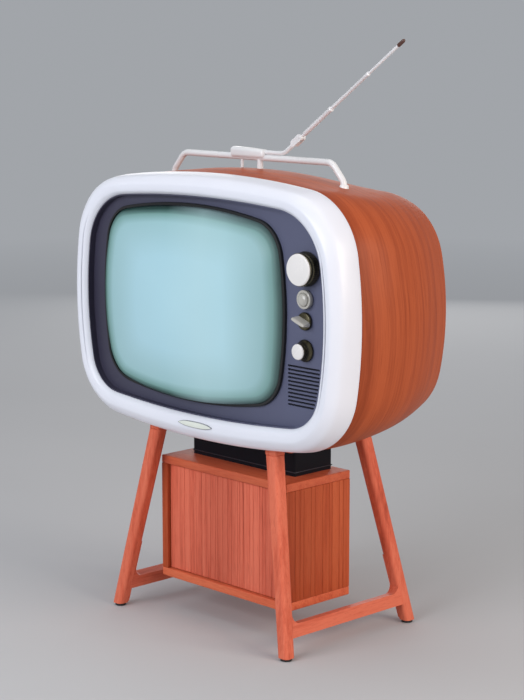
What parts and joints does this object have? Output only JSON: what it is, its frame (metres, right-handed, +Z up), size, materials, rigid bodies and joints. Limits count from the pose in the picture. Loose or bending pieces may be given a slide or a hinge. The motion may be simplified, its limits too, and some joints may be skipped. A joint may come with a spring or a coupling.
{
  "type": "tube television",
  "caption": "Table television with a bowed wooden cabinet, white front ring, side controls, carrying handle with telescopic aerial, splayed leg stand and hanging storage box.",
  "frame": {"origin": "on the floor, midway between the four feet, under the middle of the cabinet", "axes": "+X to the right of the screen as a viewer sees it, +Y to the rear, +Z up"},
  "size_m": [0.5764, 0.286, 0.8286],
  "materials": {
    "badge_metal": "satin",
    "black_bakelite": "moulded",
    "box_wood": "satin lacquer",
    "brass_pin": "turned",
    "bronze_trim": "aged",
    "can_metal": "drawn",
    "chassis_metal": "plated",
    "coated_glass": "graphite coated",
    "copper_winding": "enamelled",
    "ferrite": "sintered",
    "gasket_rubber": "matt",
    "glide_rubber": "matt",
    "inner_plywood": "raw",
    "ivory_plastic": "gloss",
    "mask_plastic": "matt",
    "pearl_plastic": "pearl",
    "plated_steel": "zinc plated",
    "plinth_paint": "satin",
    "rear_board": "pressed fibre",
    "rod_metal": "satin",
    "screen_glass": "polished",
    "speaker_cloth": "woven",
    "speaker_paper": "pressed pulp",
    "teak_solid": "satin lacquer",
    "teak_veneer": "satin lacquer",
    "tip_plastic": "gloss",
    "valve_glass": "clear",
    "white_moulding": "gloss",
    "white_paint": "gloss"
  },
  "bodies": {
    "cabinet": {"aerial_block": "white_paint", "anode_lead": "gasket_rubber", "badge_plate": "badge_metal", "box_back_panel": "box_wood", "box_bottom_board": "box_wood", "box_sides": "box_wood", "box_top_board": "box_wood", "cabinet_screws": "plated_steel", "cabinet_shell": "teak_veneer", "chassis_runners": "inner_plywood", "chassis_tray": "chassis_metal", "control_mask": "mask_plastic", "control_pots": "can_metal", "crt_band": "plated_steel", "crt_base": "black_bakelite", "crt_faceplate": "screen_glass", "crt_funnel": "coated_glass", "deflection_coils": "copper_winding", "deflection_core": "ferrite", "door_pins": "brass_pin", "foot_glides": "glide_rubber", "front_baffle": "inner_plywood", "front_bezel": "white_moulding", "handle_bar": "white_paint", "handle_ferrules": "white_paint", "leg_cleats": "inner_plywood", "leg_plates": "plated_steel", "legs": "teak_solid", "line_transformer": "can_metal", "mains_transformer_coil": "copper_winding", "mains_transformer_core": "ferrite", "plinth_case": "plinth_paint", "rear_cover": "rear_board", "rear_sockets": "black_bakelite", "screen_gasket": "gasket_rubber", "side_stretchers": "teak_solid", "smoothing_capacitors": "can_metal", "speaker_basket": "chassis_metal", "speaker_cloth": "speaker_cloth", "speaker_cone": "speaker_paper", "speaker_magnet": "ferrite", "stand_bolts": "plated_steel", "tuner_case": "chassis_metal", "valve_bulbs": "valve_glass", "valve_sockets": "black_bakelite"},
    "aerial_swivel": {"aerial_arm": "white_paint"},
    "aerial_base": {"aerial_base_tube": "rod_metal"},
    "aerial_middle": {"aerial_middle_tube": "rod_metal"},
    "aerial_end": {"aerial_end_rod": "rod_metal", "aerial_tip": "tip_plastic"},
    "channel_selector": {"channel_knob": "ivory_plastic", "tuner_drum": "can_metal"},
    "fine_tuning": {"fine_tuning_ring": "bronze_trim"},
    "contrast_control": {"contrast_knob": "pearl_plastic"},
    "tone_control": {"tone_knob_base": "mask_plastic", "tone_knob_bar": "pearl_plastic"},
    "volume_control": {"volume_knob_skirt": "bronze_trim", "volume_knob_cap": "ivory_plastic"},
    "door": {"cabinet_door": "box_wood"}
  },
  "joints": [
    {"name": "aerial_turn", "type": "hinge", "parent": "cabinet", "child": "aerial_swivel", "pos_m": [0.022, -0.012, 0.671], "axis": [1, 0, 0], "range_deg": [-75, 75]},
    {"name": "aerial_tilt", "type": "hinge", "parent": "aerial_swivel", "child": "aerial_base", "pos_m": [0.0892, -0.012, 0.6944], "axis": [0, -1, 0], "range_deg": [-35, 120]},
    {"name": "aerial_middle_slide", "type": "slide", "parent": "aerial_base", "child": "aerial_middle", "axis": [0.8151, 0, 0.5793], "range_m": [-0.045, 0]},
    {"name": "aerial_end_slide", "type": "slide", "parent": "aerial_middle", "child": "aerial_end", "axis": [0.8151, 0, 0.5793], "range_m": [-0.058, 0]},
    {"name": "channel_turn", "type": "hinge", "parent": "cabinet", "child": "channel_selector", "pos_m": [0.202, -0.115, 0.534], "axis": [0, 1, 0], "continuous": true},
    {"name": "fine_tuning_turn", "type": "hinge", "parent": "cabinet", "child": "fine_tuning", "pos_m": [0.202, -0.115, 0.534], "axis": [0, 1, 0], "range_deg": [-150, 150]},
    {"name": "contrast_turn", "type": "hinge", "parent": "cabinet", "child": "contrast_control", "pos_m": [0.2005, -0.115, 0.494], "axis": [0, 1, 0], "range_deg": [0, 270]},
    {"name": "tone_turn", "type": "hinge", "parent": "cabinet", "child": "tone_control", "pos_m": [0.199, -0.115, 0.465], "axis": [0, 1, 0], "range_deg": [-120, 150]},
    {"name": "volume_turn", "type": "hinge", "parent": "cabinet", "child": "volume_control", "pos_m": [0.199, -0.115, 0.426], "axis": [0, 1, 0], "range_deg": [0, 290]},
    {"name": "door_hinge", "type": "hinge", "parent": "cabinet", "child": "door", "pos_m": [0.1085, -0.067, 0.138], "axis": [0, 0, 1], "range_deg": [0, 90]}
  ]
}
